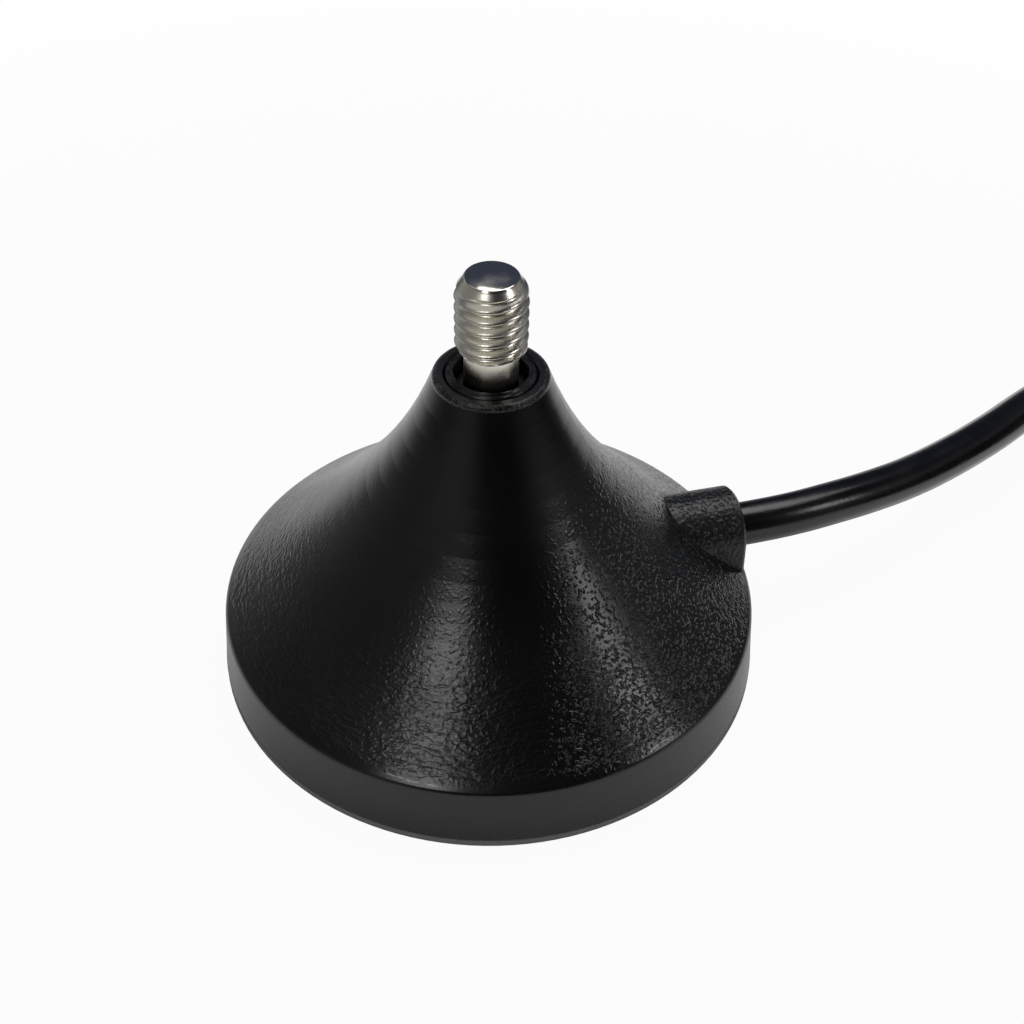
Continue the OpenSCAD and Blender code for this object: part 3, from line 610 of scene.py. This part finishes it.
# %% Plug and hidden parts
PLAIN = {
    "thin_gold_plate": ((0.80, 0.58, 0.26), 1.0, 700, 0.14, 0.28,
                        ["plug_body", coupling_nut, "plug_pin", "crimp_ferrule"]),
    "plain_brass": ((0.68, 0.50, 0.24), 1.0, 900, 0.24, 0.4,
                    ["retaining_ring", "cable_crimp_ring"]),
    "zinc_plated_steel": ((0.56, 0.56, 0.55), 1.0, 600, 0.28, 0.46,
                          ["backing_plate", "lock_washer"]),
    "nickel_plated_magnet": ((0.6, 0.6, 0.62), 1.0, 400, 0.22, 0.4, ["ring_magnet"]),
    "tinned_copper": ((0.66, 0.64, 0.6), 1.0, 1200, 0.32, 0.5, ["solder_tag", "braid_pigtail"]),
    "bare_copper": ((0.72, 0.4, 0.24), 1.0, 1200, 0.24, 0.4, ["centre_conductor"]),
    "white_dielectric": ((0.8, 0.8, 0.77), 0.0, 900, 0.3, 0.42,
                         ["cable_dielectric", "plug_insulator", "plug_core"]),
    "red_gasket": ((0.42, 0.05, 0.03), 0.0, 1500, 0.4, 0.52, ["plug_gasket"]),
    "white_wire_tie": ((0.78, 0.78, 0.75), 0.0, 900, 0.38, 0.52, ties)}
for name, (colour, metallic, grains, smooth, rough, pieces) in PLAIN.items():
    plain = Finish(name, colour, rough, metallic)
    plain.set("Roughness", plain.between(plain.noise(grains), 0.3, 0.7, smooth, rough))
    plain.on(*pieces)

# %% [markdown]
# Two of them need a little more. The washer is pressed fibre, whose colour is mottled, and the
# sleeve over the plug's end has shrunk on to it, which leaves it slightly uneven.

# %% Fibre and shrink sleeve
fibre = Finish("fibre_washer", (0.6, 0.5, 0.34), 0.7)
fibre.set("Base Color", fibre.tint(fibre.noise(1500, 4), (0.52, 0.42, 0.27), (0.66, 0.57, 0.4)))
fibre.on("insulating_washer")

shrink = Finish("black_shrink_sleeve", (0.009, 0.009, 0.01), 0.42)
shrink.set("Roughness", shrink.between(shrink.noise(800), 0.3, 0.7, 0.36, 0.5))
shrink.relief(shrink.noise(900, detail=3), 0.02)
shrink.on("heat_shrink")

# %% [markdown]
# The cable is declared with its real length, so that it can be measured: 1.5 m from the boss to
# the plug, which is a common length for a small base like this one.

# %% [markdown]
# ## Floor
# The photograph was taken on white, in soft light. The floor is a wide plain disc. To the camera
# it is mostly a white glow with a little of the real light in it, so the background is white and
# the object still has a soft shadow. To a reflection it glows too, as painted light: weakly close
# round the base, as a painted shadow, and more strongly farther out and behind the base. From
# 45 to 120 mm out its colour and that glow fade to dark.

# %% Floor
ground = bmesh.new()
bmesh.ops.create_circle(ground, cap_ends=True, segments=64, radius=1.2)
floor_mesh = bpy.data.meshes.new("floor")
ground.to_mesh(floor_mesh)
ground.free()
floor = bpy.data.objects.new("floor", floor_mesh)
bpy.context.collection.objects.link(floor)

PALE, DARK = (0.86, 0.86, 0.86), (0.05, 0.05, 0.05)
paper = Finish("pale_floor", PALE, 0.9)
seen = paper.node("ShaderNodeLightPath", out="Is Camera Ray")
mirrored = paper.node("ShaderNodeLightPath", out="Is Glossy Ray")
distance = (paper.axis(0) * paper.axis(0) + paper.axis(1) * paper.axis(1)) ** 0.5
# Past 45 mm the floor's colour and its glow fade to dark. The glow that reflections see is painted
# light: weak close round the base as a painted shadow, stronger from 34 mm out, and a little
# stronger behind the base.
far = paper.between(distance, 0.045, 0.12)
glow_past_shadow = paper.between(distance, 0.017, 0.034, 0.25, 0.75)
behind = paper.between(paper.axis(1), -0.015, 0.02, 0, 0.15)
paper.set("Base Color", paper.tint(far, PALE, DARK))
glow = paper.node("ShaderNodeEmission", {}, {"Color": (1, 1, 1, 1), "Strength": 1.0})
lit = Wire(paper, paper.shader.outputs[0])
share = seen * (0.95 + 0.05 * far) + mirrored * (glow_past_shadow + behind) * (1 - far)
paper.feed(paper.tree.nodes["Material Output"].inputs["Surface"],
           paper.node("ShaderNodeMixShader", {}, {0: share, 1: lit, 2: glow}))
paper.on(floor)

# %% [markdown]
# ## Room
# Black plastic shows little but what it mirrors, so the room was read off the photograph: dark and
# a little blue in front and above, with a soft pale side at the left, a weaker one at the right,
# and a bright ceiling. The camera itself sees plain white.

# %% Room
world = bpy.data.worlds.new("studio")
bpy.context.scene.world = world
world.use_nodes = True
sky = Network(world.node_tree)
seen = sky.node("ShaderNodeLightPath", out="Is Camera Ray")
way = sky.node("ShaderNodeTexCoord", out="Generated")
side, back, high = [sky.node("ShaderNodeSeparateXYZ", {}, {0: way}, out=n) for n in range(3)]
low = 1 - sky.between(high, 0.3, 0.65)
left = sky.between(0 - side, 0.1, 0.6) * (1 - 0.4 * sky.between(0 - side, 0.75, 0.97))
aside = sky.between(side, 0.5, 0.95)
ceiling = sky.between(0.95 * high - 0.3 * side, 0.75, 0.97)
share = low * (0.28 * left + 0.18 * aside) + 0.45 * ceiling
walls = sky.tint(sky.between(back, 0, 0.5), (0.014, 0.016, 0.02), (0.034, 0.042, 0.07))
room = sky.node("ShaderNodeMix", {"data_type": "RGBA"},
                {0: share, 6: walls, 7: (0.95, 0.94, 0.9, 1)}, out=2)
around = sky.node("ShaderNodeBackground", {}, {"Color": room, "Strength": 1.0})
white = sky.node("ShaderNodeBackground", {}, {"Color": (1, 1, 1, 1), "Strength": 1.0})
sky.feed(sky.tree.nodes["World Output"].inputs["Surface"],
         sky.node("ShaderNodeMixShader", {}, {0: seen, 1: around, 2: white}))
print("room of", len(sky.tree.nodes), "nodes")

# %% [markdown]
# ## Lamps
# Two windows give the bright patches on the bell, one from the front left and one from the right.
# A large panel behind lights the tops of the boss and the cable.

# %% Lamps
def softbox(name, azimuth, elevation, distance, width, tall, power):
    """An area lamp that faces the base. Azimuth 0 is behind it, 90 is on the right."""
    lamp = bpy.data.lights.new(name, "AREA")
    lamp.shape, lamp.size, lamp.size_y, lamp.energy = "RECTANGLE", width, tall, power
    turn, lift = math.radians(azimuth), math.radians(elevation)
    spot = Vector((math.sin(turn) * math.cos(lift), math.cos(turn) * math.cos(lift),
                   math.sin(lift))) * distance
    made = bpy.data.objects.new(name, lamp)
    made.matrix_world = Matrix.Translation(spot) @ spot.to_track_quat("Z", "Y").to_matrix().to_4x4()
    bpy.context.collection.objects.link(made)


softbox("front_left_window", -152, 43, 0.8, 0.24, 0.17, 0.66)
softbox("right_window", 110, 31, 0.8, 0.13, 0.2, 0.62)
softbox("back_right_panel", 25, 62, 1.0, 0.8, 0.45, 3.7)

# %% View transform
bpy.context.scene.view_settings.view_transform = "Standard"
bpy.context.view_layer.update()
